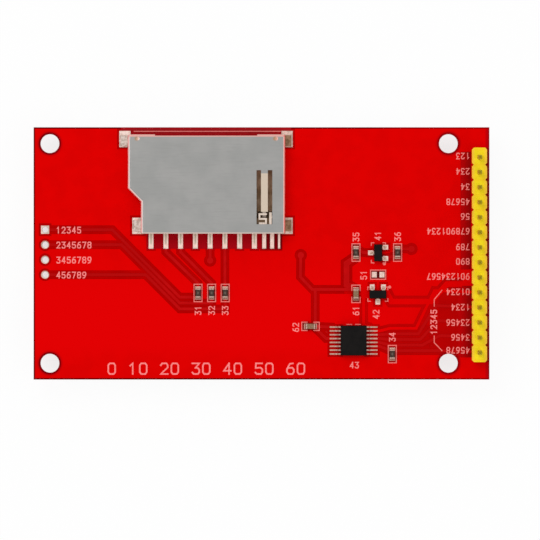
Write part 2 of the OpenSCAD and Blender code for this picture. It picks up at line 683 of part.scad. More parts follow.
module tft_glass() color([0.6, 0.7, 0.7]) layer(cell_l, tft_glass_r, cell_w, z_tft_glass, cell_glass_t);

// bare driver chip on the glass ledge
driver_x = color_glass_r + 0.6;
module driver_chip() color([0.2, 0.2, 0.22])
    layer(driver_x, driver_x + 1, 16, z_tft_glass - 0.3, 0.3);

module rear_polarizer() color([0.15, 0.15, 0.18])
    layer(pocket_l + small_gap, pocket_r - small_gap, pocket_w - 2 * small_gap, z_rear_polarizer,
        polarizer_t);

module rim_tape() color([0.05, 0.05, 0.05])
    frame_ring(cell_l, tft_glass_r, cell_w, 0.85, z_rear_polarizer, rim_tape_t);

module prism_sheet() color([0.85, 0.88, 0.9])
    layer(pocket_l + small_gap, guide_r, pocket_w - 2 * small_gap, z_prism, sheet_film_t);
module diffuser_sheet() color([0.95, 0.95, 0.95])
    layer(pocket_l + small_gap, guide_r, pocket_w - 2 * small_gap, z_diffuser, sheet_film_t);

module light_guide() color([0.9, 0.95, 0.95])
    layer(pocket_l + small_gap, guide_r, pocket_w - 2 * small_gap, z_guide, guide_t);

module reflector() color([0.97, 0.97, 0.97])
    layer(pocket_l + small_gap, pocket_r - small_gap, pocket_w - 2 * small_gap, z_reflector,
        sheet_film_t);

module lamps() color([0.98, 0.95, 0.75]) for (i = [0:led_count - 1])
    translate([guide_r, (i - (led_count - 1) / 2) * led_pitch, 0])
        slab(0, led_d, -led_w / 2, led_w / 2, z_reflector - guide_t, z_reflector);

module lamp_strip() color([0.85, 0.6, 0.2])
    layer(guide_r + 0.05, pocket_r - 0.05, led_count * led_pitch, z_guide - flex_t, flex_t);

// white frame: a pocket for the glass in front, a smaller one for the light sheets behind
module light_frame() color([0.95, 0.95, 0.93]) difference() {
    layer(unit_l, unit_r, board_w, z_cell, z_unit_back - z_cell);
    layer(cell_l - small_gap, tft_glass_r + small_gap, cell_w + 2 * small_gap, z_cell - 1,
        z_shelf - z_cell + 1);
    layer(pocket_l, pocket_r, pocket_w, z_cell, z_unit_back);
    // way out for the main flex
    slab(tft_glass_r - 1, unit_r + 1, -flex_w / 2 - small_gap, flex_w / 2 + small_gap, z_cell - 1,
        z_tft_glass);
}

// flex that leaves at height z0, folds round and runs back under the unit on the board
module folded_flex(z0, x_in, x_out, w, t) {
    z1 = board_z - t / 2;
    r = (z1 - z0) / 2;
    x_bend = unit_r + 0.3;
    route = concat([[x_in, z0]], arc([x_bend, z0 + r], r, -90, 90), [[x_out, z1]]);
    rotate([90, 0, 0]) translate([0, 0, -w / 2]) linear_extrude(w) polygon(strip(route, t));
}

module main_flex() color([0.8, 0.5, 0.15])
    folded_flex(z_tft_glass - flex_t / 2, tft_glass_r - 0.8, unit_r - unit_len / 5, flex_w, flex_t);

module touch_flex() color([0.8, 0.5, 0.15]) translate([0, touch_flex_y, 0])
    folded_flex(film_t + glue_t / 2, unit_r - 2.2, unit_r - unit_len / 10, touch_flex_w, glue_t);

// two strips of foam tape that hold the unit to the board
module foam_tape() color([0.12, 0.12, 0.12]) for (s = [-1, 1])
    slab(unit_l + 2, unit_r - 8, s > 0 ? front - foam_w - 0.5 : -front + 0.5,
        s > 0 ? front - 0.5 : -front + foam_w + 0.5, z_unit_back, board_z);

// ---------- the whole module ----------

circuit_board();
hole_pads();
solder_lands();
header_solder();
legend();
header_strip();
card_shell();
card_body();
card_contacts();
switch_contacts();
lock_spring();
chip_ends();
transistor();
regulator();
transistor_leads();
touch_chip();
touch_chip_leads();
touch_film();
touch_spacer();
touch_glass();
picture_ring();
front_polarizer();
color_glass();
tft_glass();
driver_chip();
rear_polarizer();
rim_tape();
prism_sheet();
diffuser_sheet();
light_guide();
reflector();
lamps();
lamp_strip();
light_frame();
main_flex();
touch_flex();
foam_tape();
for (i = [0:pin_count - 1])
    header_pin(i);
for (i = [0:len(resistors) - 1])
    resistor(i);
for (i = [0:len(capacitors) - 1])
    capacitor(i);
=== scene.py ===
"""Looks of the touch display module: a red circuit board with a card socket and a pin header,
lying on its display face with the component side up."""

import json
import math
from collections import Counter

import bmesh
import bpy
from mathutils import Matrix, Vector


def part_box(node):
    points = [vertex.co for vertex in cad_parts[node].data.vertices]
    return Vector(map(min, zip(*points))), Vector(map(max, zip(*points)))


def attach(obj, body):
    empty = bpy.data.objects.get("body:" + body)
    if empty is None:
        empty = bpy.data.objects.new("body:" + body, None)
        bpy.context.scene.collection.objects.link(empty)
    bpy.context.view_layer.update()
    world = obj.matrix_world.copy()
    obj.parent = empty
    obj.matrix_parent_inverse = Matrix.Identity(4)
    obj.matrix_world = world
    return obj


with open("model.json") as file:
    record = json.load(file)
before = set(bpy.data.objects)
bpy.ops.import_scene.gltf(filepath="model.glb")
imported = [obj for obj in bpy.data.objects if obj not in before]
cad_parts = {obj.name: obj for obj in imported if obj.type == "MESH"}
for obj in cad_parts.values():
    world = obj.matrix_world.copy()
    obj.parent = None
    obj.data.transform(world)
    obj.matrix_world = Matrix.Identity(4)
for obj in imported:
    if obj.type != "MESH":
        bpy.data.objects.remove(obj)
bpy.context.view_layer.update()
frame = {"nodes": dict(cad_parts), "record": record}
nodes = frame["nodes"]
MM = 0.001


def numbered(name, count):
    """The names of a set of nodes that end in 1, 2, 3 ..."""
    return [f"{name}_{i}" for i in range(1, count + 1)]


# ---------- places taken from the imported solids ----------

PITCH = 2.54 * MM  # from pin to pin, and from open hole to open hole
board_low, board_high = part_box("circuit_board")
board_top, board_under = board_high.z, board_low.z
copper_floor = board_top - 0.05 * MM
land_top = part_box("solder_lands")[0].z + 0.09 * MM
legend_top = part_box("legend")[1].z
shell_low, shell_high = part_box("card_shell")
shell_mid_x, shell_mid_y = (shell_low.x + shell_high.x) / 2, (shell_low.y + shell_high.y) / 2
strip_low, strip_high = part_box("header_strip")
lock_low, lock_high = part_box("lock_spring")
film_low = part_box("touch_film")[0]
tails_low, tails_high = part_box("card_contacts")
switch_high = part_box("switch_contacts")[1]

pins = [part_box(name) for name in numbered("header_pin", 14)]
pin_x = (pins[0][0].x + pins[0][1].x) / 2
pin_rows = [(low.y + high.y) / 2 for low, high in pins]
pin_top = pins[0][1].z

holes_low, holes_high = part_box("hole_pads")
hole_x = (holes_low.x + holes_high.x) / 2
row_inset = 0.75 * MM  # from the edge of the first pad to the first row of marks
hole_rows = [holes_high.y - row_inset - i * PITCH for i in range(4)]

screws = next(m for m in frame["record"]["mounts"] if m["name"] == "board_holes")
screw_x = screws["pos_m"][0]
screw_out = [screws["dims"][f"spacing_{axis}_mm"] / 2 * MM for axis in "xy"]

# plan boxes, each as the x and y of its middle, then half its width and half its depth
frame_long, frame_short = 1.4 * MM, 0.6 * MM  # halves of the printed frame round a chip
part_frames = []
for part in [*numbered("resistor", 6), *numbered("capacitor", 2)]:
    low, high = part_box(part)
    along_x = high.x - low.x > high.y - low.y
    part_frames.append(((low.x + high.x) / 2, (low.y + high.y) / 2,
                        *((frame_long, frame_short) if along_x else (frame_short, frame_long))))
# places that have no node of their own
jumper_frame = 19.75 * MM, -3.6 * MM, 1.2 * MM, 0.7 * MM
jumper_gap = *jumper_frame[:2], 1.0 * MM, 0.52 * MM
leaded_parts = 19.6 * MM, -3.2 * MM, 3 * MM, 5.5 * MM  # two packages and the jumper between
faint_tracks = 22 * MM, -8.6 * MM, 8 * MM, 3.6 * MM


# ---------- material writing ----------

def tint(red, green, blue):
    """A colour given from 0 to 255, as the renderer wants it."""
    def linear(v):
        v = v / 255
        return v / 12.92 if v <= 0.04045 else ((v + 0.055) / 1.055) ** 2.4
    return linear(red), linear(green), linear(blue), 1.0


class Wire:
    """One output of a node, so that shader maths reads as plain expressions."""

    def __init__(self, finish, socket):
        self.finish, self.socket = finish, socket

    def maths(self, operation, a, b):
        return self.finish.node("ShaderNodeMath", {"operation": operation}, {0: a, 1: b})

    def __add__(self, other):
        return self.maths("ADD", self, other)

    def __radd__(self, other):
        return self.maths("ADD", other, self)

    def __sub__(self, other):
        return self.maths("SUBTRACT", self, other)

    def __rsub__(self, other):
        return self.maths("SUBTRACT", other, self)

    def __mul__(self, other):
        return self.maths("MULTIPLY", self, other)

    def __rmul__(self, other):
        return self.maths("MULTIPLY", other, self)

    def __abs__(self):
        return self.maths("ABSOLUTE", self, 0.0)

    def __gt__(self, other):
        return self.maths("GREATER_THAN", self, other)

    def __lt__(self, other):
        return self.maths("LESS_THAN", self, other)


class Finish:
    """One material: a Principled shader and the nodes that feed it."""

    def __init__(self, name, **plain):
        self.material = bpy.data.materials.new(name)
        self.material.use_nodes = True
        self.tree = self.material.node_tree
        self.shader = self.tree.nodes["Principled BSDF"]
        for socket, value in plain.items():
            self.shader.inputs[socket.replace("_", " ")].default_value = value

    def node(self, kind, settings=None, sockets=None, out=0):
        """Adds a node, fills its sockets with values or wires and returns one of its outputs."""
        made = self.tree.nodes.new(kind)
        for key, value in (settings or {}).items():
            setattr(made, key, value)
        for key, value in (sockets or {}).items():
            if isinstance(value, Wire):
                self.tree.links.new(value.socket, made.inputs[key])
            else:
                made.inputs[key].default_value = value
        return Wire(self, made.outputs[out])

    def place(self):
        """x, y and z on the object, in metres."""
        here = self.node("ShaderNodeTexCoord", out="Object")
        return [self.node("ShaderNodeSeparateXYZ", None, {0: here}, axis) for axis in range(3)]

    def apart(self, a, b):
        """How far a point a and b off along two axes is."""
        both = self.node("ShaderNodeCombineXYZ", None, {0: a, 1: b})
        return self.node("ShaderNodeVectorMath", {"operation": "LENGTH"}, {0: both}, "Value")

    def inside(self, x, y, box):
        """1 inside a plan box."""
        return (abs(x - box[0]) < box[2]) * (abs(y - box[1]) < box[3])

    def facing(self, axis):
        """How much the surface faces along an axis, from -1 to 1."""
        normal = self.node("ShaderNodeNewGeometry", out="True Normal")
        return self.node("ShaderNodeSeparateXYZ", None, {0: normal}, axis)

    def grain(self, size, detail=3.0, stretch=(1, 1, 1)):
        """Noise from 0 to 1 whose lumps are about size metres across."""
        here = self.node("ShaderNodeTexCoord", out="Object")
        here = self.node("ShaderNodeMapping", None, {"Vector": here, "Scale": stretch})
        return self.node("ShaderNodeTexNoise", None,
                         {"Vector": here, "Scale": 1 / size, "Detail": detail, "Roughness": 0.5})

    def off_row(self, value, step):
        """How far a value is from the nearest whole number of steps."""
        return self.node("ShaderNodeMath", {"operation": "PINGPONG"}, {0: value, 1: step / 2})

    def ramp(self, value, low, high):
        """0 below low, 1 above high and smooth between."""
        return self.node("ShaderNodeMapRange", {"interpolation_type": "SMOOTHSTEP"},
                         {"Value": value, "From Min": low, "From Max": high})

    def between(self, value, low, high, soft):
        """1 from low to high, 0 outside, with soft ends."""
        return (self.ramp(value, low - soft, low + soft)
                * (1 - self.ramp(value, high - soft, high + soft)))

    def blend(self, share, a, b):
        """Colour a, going to colour b where share is 1."""
        return self.node("ShaderNodeMix", {"data_type": "RGBA"}, {0: share, 6: a, 7: b}, 2)

    def feed(self, **sockets):
        """Links wires to the shader's sockets of those names."""
        for socket, value in sockets.items():
            self.tree.links.new(value.socket, self.shader.inputs[socket.replace("_", " ")])
        return self

    def relief(self, height, depth, strength):
        """Raises the surface by a height from 0 to 1 times the depth in metres."""
        bump = self.node("ShaderNodeBump", None,
                         {"Strength": strength, "Distance": depth, "Height": height})
        return self.feed(Normal=bump)


def dress(finish, *pieces):
    """Gives a finish to solids, by their names, or to the scene's own objects."""
    for piece in pieces:
        data = (nodes[piece] if isinstance(piece, str) else piece).data
        data.materials.clear()
        data.materials.append(finish.material)


# ---------- finishes ----------

def from_screws(f, x, y):
    """How far a point is from the middle of the nearest mounting hole."""
    return f.apart(abs(x - screw_x) - screw_out[0], abs(y) - screw_out[1])


def painted_part_shade(f, x, y):
    """Share and colour of the painted shade inside the small parts' printed frames, round and under the
    parts.
    """
    share = 0
    for box in [*part_frames, jumper_frame]:
        share = f.inside(x, y, box) + share
    return 0.85 * share, f.blend(f.grain(0.4 * MM, 3), tint(118, 14, 10), tint(150, 26, 20))


def mask_colour(f, x, y, cloud, part_shade):
    """Red mask on the wide copper field, a little brighter at the lower left."""
    speck = f.grain(0.16 * MM, 2)
    colour = f.blend(f.ramp(cloud, 0.35, 0.65), tint(219, 0, 0), tint(225, 0, 0))
    low_left = (1 - f.ramp(y, -8 * MM, 2 * MM)) * (1 - f.ramp(x, 16 * MM, 34 * MM))
    low_left = low_left * f.ramp(y, -19 * MM, -15 * MM)
    colour = f.blend(low_left, colour, tint(229, 0, 2))
    colour = f.blend(0.25 * f.ramp(speck, 0.5, 0.75), colour, tint(206, 0, 0))
    # painted shade inside the small parts' frames
    return f.blend(part_shade[0], colour, part_shade[1])


def channel_colour(f, x, y, cloud, part_shade):
    """The darker mask where the copper is cut away, round tracks, holes and rims, with painted shade
    before the card's mouth, between the contact tails and beside the header.
    """
    colour = f.blend(f.ramp(cloud, 0.3, 0.7), tint(176, 0, 0), tint(186, 0, 0))
    bare = f.blend(f.grain(0.5 * MM), tint(108, 0, 2), tint(128, 2, 6))
    # before the card's mouth: bare mask with painted shadow of the shell over it
    shade = f.blend(f.grain(0.5 * MM), tint(156, 16, 22), tint(178, 28, 34))
    rim_x = f.ramp(abs(x), board_high.x - 0.3 * MM, board_high.x - 0.25 * MM)
    rim_y = f.ramp(abs(y), board_high.y - 0.3 * MM, board_high.y - 0.25 * MM)
    ring = from_screws(f, x, y) < 2 * MM
    # between the contact tails: bare mask with painted shade, and painted shadow beside the last tails
    tails = (f.between(x, tails_low.x - 0.8 * MM, switch_high.x + 0.4 * MM, 0.02 * MM)
             * f.between(y, tails_low.y - 0.3 * MM, shell_low.y + 0.5 * MM, 0.02 * MM))
    last_tails_shadow = tails * f.ramp(x, switch_high.x - 3.4 * MM, switch_high.x - 2.6 * MM)
    mouth = (f.ramp(y, shell_high.y - 0.4 * MM, shell_high.y - 0.3 * MM)
             * f.between(x, shell_low.x, shell_high.x, 0.02 * MM))
    colour = f.blend(0.6 * f.inside(x, y, faint_tracks), colour, tint(212, 0, 0))
    for share, over in ((rim_x, bare), (rim_y, bare), (ring, bare), (mouth, shade),
                        (tails, tint(168, 8, 20)), (0.7 * last_tails_shadow, tint(104, 0, 6)), part_shade):
        colour = f.blend(share, colour, over)
    colour = f.blend(0.5 * f.ramp(x, 18 * MM, 24 * MM), colour, tint(188, 2, 3))
    # the cut away band beside the header, darker towards it in painted shade of the header
    header_shade = (f.ramp(x, strip_low.x - 2.3 * MM, strip_low.x - 2.2 * MM)
            * (1 - f.ramp(x, strip_low.x + 0.2 * MM, strip_low.x + 0.3 * MM))
            * f.between(y, strip_low.y, strip_high.y, 0.1 * MM))
    return f.blend(header_shade, colour, f.blend(f.ramp(x, strip_low.x - 2.1 * MM, strip_low.x),
                                         tint(190, 2, 6), tint(146, 6, 6)))


def darker_places(f, x, y):
    """Shares and colours that darken mask and channels alike: the right margin, painted shadow of the
    header beside it, painted shade round the screw holes and between the jumper's pads.
    """
    margin = f.ramp(x, strip_high.x - 0.3 * MM, strip_high.x - 0.1 * MM)
    beside = f.between(y, strip_low.y, strip_high.y, 0.2 * MM)
    hole_shade = 1 - f.ramp(from_screws(f, x, y), 1.85 * MM, 2.35 * MM)
    # darker right margin; painted shadow of the header beside it, painted shade round the holes and in
    # the jumper's gap
    return ((0.45 * margin, tint(150, 0, 16)), (0.9 * margin * beside, tint(128, 14, 8)),
            (0.5 * hole_shade, tint(150, 0, 10)), (0.85 * f.inside(x, y, jumper_gap), tint(60, 16, 16)))


def board_finish():
    """Red mask over copper, darker where the copper is cut away, laminate at the edges, with painted
    shade round the parts, the holes and the header.
    """
    f = Finish("red_board", Specular_IOR_Level=0.008, IOR=1.5)
    x, y, z = f.place()
    cloud = f.grain(2.6 * MM, 4)
    part_shade = painted_part_shade(f, x, y)
    mask = mask_colour(f, x, y, cloud, part_shade)
    channel = channel_colour(f, x, y, cloud, part_shade)
    for share, over in darker_places(f, x, y):
        mask = f.blend(share, mask, over)
        channel = f.blend(share, channel, over)
    cut_away = (z < copper_floor + 0.02 * MM) * (z > board_under + 0.02 * MM)
    colour = f.blend(cut_away, mask, channel)
    weave = f.grain(0.07 * MM, 2, (0.3, 0.3, 1.0))
    laminate = f.blend(f.ramp(weave, 0.3, 0.7), tint(112, 34, 26), tint(132, 50, 38))
    colour = f.blend(1 - f.ramp(abs(f.facing(2)), 0.4, 0.6), colour, laminate)
    f.feed(Base_Color=colour, Roughness=0.3 + 0.12 * cloud)
    return f.relief(f.grain(0.35 * MM, 3), 0.004 * MM, 0.5)


def ink_finish(name, full, thin):
    """Printed ink, a little thin in places and brighter on the line before the card's slot."""
    f = Finish(name, Specular_IOR_Level=0.2)
    wear = f.grain(0.22 * MM, 4)
    x, y, z = f.place()
    colour = f.blend(f.ramp(wear, 0.4, 0.7), tint(*full), tint(*thin))
    mouth = (f.ramp(y, shell_high.y, shell_high.y + 0.2 * MM)
             * f.between(x, shell_low.x, shell_high.x, 0.1 * MM))
    colour = f.blend(mouth, colour, tint(244, 130, 126))
    f.feed(Base_Color=colour, Roughness=0.6 + 0.2 * wear)
    return f.relief(wear, 0.006 * MM, 0.4)


def solder_finish():
    """Tin: bright round the card socket, the open holes and the jumper, duller on the small parts."""
    f = Finish("solder", Metallic=1.0)
    x, y, z = f.place()
    skin = f.grain(0.45 * MM, 4)
    spots = f.grain(0.12 * MM, 2)
    clean = f.blend(f.ramp(skin, 0.38, 0.7), tint(252, 228, 218), tint(226, 196, 182))
    dull = f.blend(f.ramp(skin, 0.38, 0.7), tint(214, 172, 156), tint(180, 136, 120))
    # painted highlight on ends that face up the board, painted shade on those that face down
    dull = f.blend(f.ramp(f.facing(1), 0.1, 0.7), dull, tint(246, 214, 198))
    dull = f.blend(f.ramp(f.facing(1), -0.1, -0.7), dull, tint(140, 104, 86))
    socket = (f.ramp(y, tails_low.y - 0.7 * MM, tails_low.y - 0.5 * MM)
              * (1 - f.ramp(x, shell_high.x + 2.2 * MM, shell_high.x + 2.4 * MM)))
    legs = f.inside(x, y, leaded_parts)
    holes = 1 - f.ramp(x, holes_high.x, holes_high.x + 0.5 * MM)
    colour = f.blend(f.ramp(socket + holes + 0.62 * legs, 0.0, 1.0), dull, clean)
    # grey-green patches on the socket's lands
    shoe = f.ramp(f.grain(0.8 * MM, 2), 0.42, 0.6) * socket
    colour = f.blend(0.55 * shoe, colour, tint(150, 150, 134))
    # painted shade round the rims of the open pads, as on a dome, apart from the square first one
    from_hole = f.apart(x - hole_x, f.off_row(y - hole_rows[0], PITCH))
    rim = f.ramp(from_hole, 0.56 * MM, 0.68 * MM) * holes
    round_ones = 1 - f.ramp(y, hole_rows[0] - 1.3 * MM, hole_rows[0] - 1.2 * MM)
    colour = f.blend(rim * round_ones, colour, tint(140, 70, 62))
    colour = f.blend(0.4 * holes, colour, tint(214, 186, 168))
    # the right side of the socket was soldered hotter
    hot = f.ramp(x, shell_low.x + 10 * MM, shell_high.x) * (1 - legs)
    colour = f.blend(0.4 * hot, colour, tint(190, 140, 122))
    colour = f.blend(0.3 * f.ramp(spots, 0.6, 0.8), colour, tint(176, 146, 132))
    f.feed(Base_Color=colour, Roughness=0.24 + 0.25 * skin)
    return f.relief(skin + 0.3 * spots, 0.02 * MM, 0.6)


def tinned_finish():
    """Tinned leads and chip ends."""
    f = Finish("tinned_ends", Metallic=0.55)
    x, y, z = f.place()
    skin = f.grain(0.2 * MM, 3)
    colour = f.blend(f.ramp(skin, 0.4, 0.7), tint(200, 166, 152), tint(152, 120, 106))
    # painted highlight on the faces that look up the board
    colour = f.blend(0.6 * f.ramp(f.facing(1), 0.1, 0.7), colour, tint(246, 220, 206))
    bright = f.blend(f.ramp(skin, 0.4, 0.7), tint(216, 182, 164), tint(168, 132, 114))
    colour = f.blend(f.inside(x, y, leaded_parts), colour, bright)
    f.feed(Base_Color=colour, Roughness=0.3 + 0.2 * skin)
    return f.relief(skin, 0.01 * MM, 0.5)


def track_finish():
    """The mask where it lies over a narrow track."""
    f = Finish("track_mask", Specular_IOR_Level=0.03)
    x, y, z = f.place()
    cloud = f.grain(1.6 * MM, 3)
    colour = f.blend(f.ramp(cloud, 0.3, 0.7), tint(187, 5, 7), tint(197, 8, 10))
    colour = f.blend(f.ramp(x, -14 * MM, -20 * MM), colour, tint(181, 5, 6))
    colour = f.blend(f.ramp(x, 18 * MM, 24 * MM), colour, tint(187, 4, 5))
    f.feed(Base_Color=colour, Roughness=0.32 + 0.12 * cloud)
    return f.relief(f.grain(0.35 * MM, 3), 0.004 * MM, 0.5)


def shell_finish():
    """Rolled sheet: even grey on the flat, with painted reflection along the bends and painted
    highlights on the front and back edges.
    """
    f = Finish("shell_steel", Metallic=1.0)
    x, y, z = f.place()
    rolled = f.grain(0.3 * MM, 4, (0.12, 1.0, 1.0))
    cloud = f.grain(3.5 * MM, 3)
    flat = f.blend(f.ramp(cloud, 0.3, 0.7), tint(152, 152, 150), tint(159, 158, 156))
    flat = f.blend(0.3 * f.ramp(rolled, 0.45, 0.75), flat, tint(146, 145, 143))
    # painted reflection along the bends, whiter on the left and pinker on the right
    top = shell_high.z
    bend = 1 - f.ramp(z, top - 0.06 * MM, top - 0.02 * MM)
    bright = f.blend(f.ramp(x, shell_low.x + 4 * MM, shell_high.x - 4 * MM), tint(255, 228, 222),
                     tint(250, 194, 186))
    colour = f.blend(bend, flat, bright)
    # painted highlights on the edges, front and back
    front = f.ramp(y, shell_high.y - 0.42 * MM, shell_high.y - 0.32 * MM)
    colour = f.blend(0.7 * front, colour, tint(240, 170, 160))
    back = 1 - f.ramp(y, shell_low.y + 0.14 * MM, shell_low.y + 0.22 * MM)
    colour = f.blend(0.6 * back, colour, tint(232, 206, 192))
    # painted shade, brownish, in the two dimples
    dimple_shade = f.apart(abs(x - shell_mid_x) - 11.7 * MM, y - (shell_high.y - 0.7 * MM))
    colour = f.blend(0.7 * (1 - f.ramp(dimple_shade, 0.2 * MM, 0.5 * MM)), colour, tint(176, 132, 92))
    foot = 1 - f.ramp(z, land_top + 0.28 * MM, land_top + 0.5 * MM)
    mottle = f.ramp(f.grain(0.45 * MM, 3), 0.35, 0.65)
    stain = f.blend(mottle, tint(178, 160, 148), tint(214, 200, 190))
    stain = f.blend(f.ramp(x, shell_low.x + 10 * MM, shell_high.x), stain,
                    f.blend(mottle, tint(118, 94, 70), tint(152, 122, 96)))
    colour = f.blend(foot, colour, stain)
    # painted reflection: the tongue in the window, bent down, is pale beyond its root
    tongue_reflection = (f.between(x, lock_low.x + 0.3 * MM, lock_low.x + 1.7 * MM, 0.02 * MM)
              * f.between(y, lock_low.y + 1.9 * MM, lock_low.y + 8.6 * MM, 0.1 * MM))
    colour = f.blend(tongue_reflection, colour, tint(204, 188, 170))
    f.feed(Base_Color=colour, Roughness=0.38 + 0.12 * rolled)
    return f.relief(rolled, 0.002 * MM, 0.4)


def spring_finish():
    """Spring metal; the tails have a grey-green middle between wetted edges and bright toes."""
    f = Finish("spring_metal", Metallic=1.0)
    x, y, z = f.place()
    drawn = f.grain(0.14 * MM, 3, (1.0, 0.1, 1.0))
    colour = f.blend(f.ramp(drawn, 0.35, 0.7), tint(228, 212, 198), tint(206, 190, 176))
    tails = 1 - f.ramp(y, shell_low.y - 0.05 * MM, shell_low.y + 0.05 * MM)
    tail_w = 0.75 * MM
    pitch = (tails_high.x - tails_low.x - tail_w) / 7
    from_tail = f.off_row(x - tails_low.x - tail_w / 2, pitch)
    middle = ((1 - f.ramp(from_tail, 0.06 * MM, 0.24 * MM))
              * f.ramp(y, tails_low.y + 0.3 * MM, tails_low.y + 1.0 * MM))
    metal = f.blend(f.ramp(f.grain(0.4 * MM, 3), 0.3, 0.7), tint(238, 200, 188), tint(246, 220, 208))
    metal = f.blend(0.85 * middle, metal, tint(176, 170, 146))
    colour = f.blend(tails, colour, metal)
    f.feed(Base_Color=colour, Roughness=0.3 + 0.15 * drawn)
    return f.relief(drawn, 0.004 * MM, 0.4)


def moulded_finish(name, light, dark, gloss, shade=None):
    """Moulded plastic or epoxy with a fine spark texture, and its own painted shade, if given, over the
    colour.
    """
    f = Finish(name, Specular_IOR_Level=gloss)
    pits = f.grain(0.18 * MM, 3)
    flow = f.grain(1.6 * MM, 3)
    colour = f.blend(f.ramp(flow, 0.35, 0.65), tint(*light), tint(*dark))
    if shade:
        colour = shade(f, colour)
    f.feed(Base_Color=colour, Roughness=0.42 + 0.25 * pits)
    return f.relief(pits, 0.012 * MM, 0.5)


def pit_shade(f, colour):
    """Painted shade on the socket's moulding, in the pit under the shell's window."""
    x, y, z = f.place()
    pit = (lock_low.x + lock_high.x) / 2, lock_low.y + 0.8 * MM, 1.5 * MM, 1.4 * MM
    return f.blend(0.85 * f.inside(x, y, pit), colour, tint(84, 64, 42))


def header_finish():
    """Yellow header plastic, deeper in colour along its long edges and in the notches, with painted
    shade on its sides.
    """
    f = Finish("yellow_plastic", Specular_IOR_Level=0.15, Subsurface_Weight=0.05,
               Subsurface_Radius=(0.6 * MM, 0.4 * MM, 0.1 * MM))
    x, y, z = f.place()
    side = f.ramp(abs(x - pin_x), 0.7 * MM, 1.1 * MM)
    notch = f.ramp(f.off_row(y - pin_rows[0], PITCH), 0.95 * MM, 1.25 * MM)
    low = 1 - f.ramp(z, strip_high.z - 0.5 * MM, strip_high.z - 0.02 * MM)
    pits = f.grain(0.2 * MM, 3)
    flow = f.grain(1.4 * MM, 3)
    colour = f.blend(f.ramp(flow, 0.3, 0.7), tint(252, 226, 22), tint(246, 214, 12))
    colour = f.blend(0.45 * notch, colour, tint(252, 200, 16))
    colour = f.blend(side, colour, tint(255, 204, 56))
    # painted shade on the strip's sides, below its top
    colour = f.blend(low, colour, tint(214, 150, 14))
    f.feed(Base_Color=colour, Roughness=0.45 + 0.2 * pits)
    return f.relief(pits, 0.01 * MM, 0.5)


def pin_finish():
    """Plated pins, with painted olive reflection on the tips, darkest on the cut tops."""
    f = Finish("gold_pin", Specular_IOR_Level=0.1)
    x, y, z = f.place()
    drawn = f.grain(0.1 * MM, 3, (1.0, 1.0, 0.06))
    colour = f.blend(f.ramp(drawn, 0.4, 0.7), tint(226, 206, 140), tint(196, 174, 108))
    tip_reflection = f.ramp(z, pin_top - 0.56 * MM, pin_top - 0.46 * MM)
    # painted olive reflection on the tips, darker still on the cut tops
    colour = f.blend(tip_reflection, colour, tint(172, 154, 16))
    colour = f.blend(z > pin_top - 0.01 * MM, colour, tint(138, 124, 14))
    f.feed(Base_Color=colour, Roughness=0.28 + 0.2 * drawn + 0.3 * tip_reflection, Metallic=1 - tip_reflection)
    return f.relief(drawn, 0.006 * MM, 0.4)


def resistor_finish():
    """Black glaze, paler in the middle of the chip."""
    f = Finish("resistor_black", Specular_IOR_Level=0.06)
    glaze = f.grain(0.3 * MM, 3)
    here = f.node("ShaderNodeTexCoord", out="Generated")
    u, v = [f.node("ShaderNodeSeparateXYZ", None, {0: here}, axis) for axis in range(2)]
    centre = 1 - f.ramp(f.apart(u - 0.5, v - 0.5), 0.08, 0.3)
    colour = f.blend(f.ramp(glaze, 0.3, 0.7), tint(58, 42, 36), tint(76, 60, 52))
    colour = f.blend(0.6 * centre, colour, tint(124, 110, 100))
    f.feed(Base_Color=colour, Roughness=0.3 + 0.2 * glaze)
    return f.relief(glaze, 0.012 * MM, 0.5)


def capacitor_finish():
    """Fired tan ceramic."""
    f = Finish("capacitor_tan", Specular_IOR_Level=0.3)
    fired = f.grain(0.16 * MM, 4)
    f.feed(Base_Color=f.blend(f.ramp(fired, 0.3, 0.7), tint(156, 122, 92), tint(118, 88, 64)),
           Roughness=0.5 + 0.2 * fired)
    return f.relief(fired, 0.01 * MM, 0.5)


def film_finish():
    """Face of the touch film: dark border, darker picture area, printed silver tracks in the border."""
    f = Finish("touch_film", Specular_IOR_Level=0.5, Coat_Roughness=0.05, Coat_Weight=1.0)
    x, y, z = f.place()
    border_left, picture_half = 3.3, 24.48
    centre_x = film_low.x + (border_left + picture_half) * MM
    in_x = 1 - f.ramp(abs(x - centre_x), 24.4 * MM, 24.5 * MM)
    in_y = 1 - f.ramp(abs(y), 18.3 * MM, 18.4 * MM)
    dust = f.grain(0.3 * MM, 3)
    border = f.blend(dust, tint(34, 34, 36), tint(44, 44, 46))
    tracks = (f.between(abs(y), 20.1 * MM, 20.5 * MM, 0.03 * MM)
              * (1 - f.ramp(abs(x - centre_x), 28.47 * MM, 28.53 * MM)))
    border = f.blend(0.7 * tracks, border, tint(150, 150, 150))
    colour = f.blend(in_x * in_y, border, f.blend(dust, tint(20, 21, 24), tint(26, 27, 31)))
    f.feed(Base_Color=colour, Roughness=0.1 + 0.08 * dust)
    return f.relief(f.grain(4 * MM, 2), 0.01 * MM, 0.2)


def sheet_finish(name, light, dark, rough, gloss=0.5, metal=0.0):
    """Film, glass, tape or flex seen mostly at its edge."""
    f = Finish(name, Specular_IOR_Level=gloss, Metallic=metal)
    cloud = f.grain(0.4 * MM, 4)
    f.feed(Base_Color=f.blend(f.ramp(cloud, 0.3, 0.7), tint(*light), tint(*dark)),
           Roughness=rough + 0.12 * cloud)
    return f.relief(cloud, 0.006 * MM, 0.4)


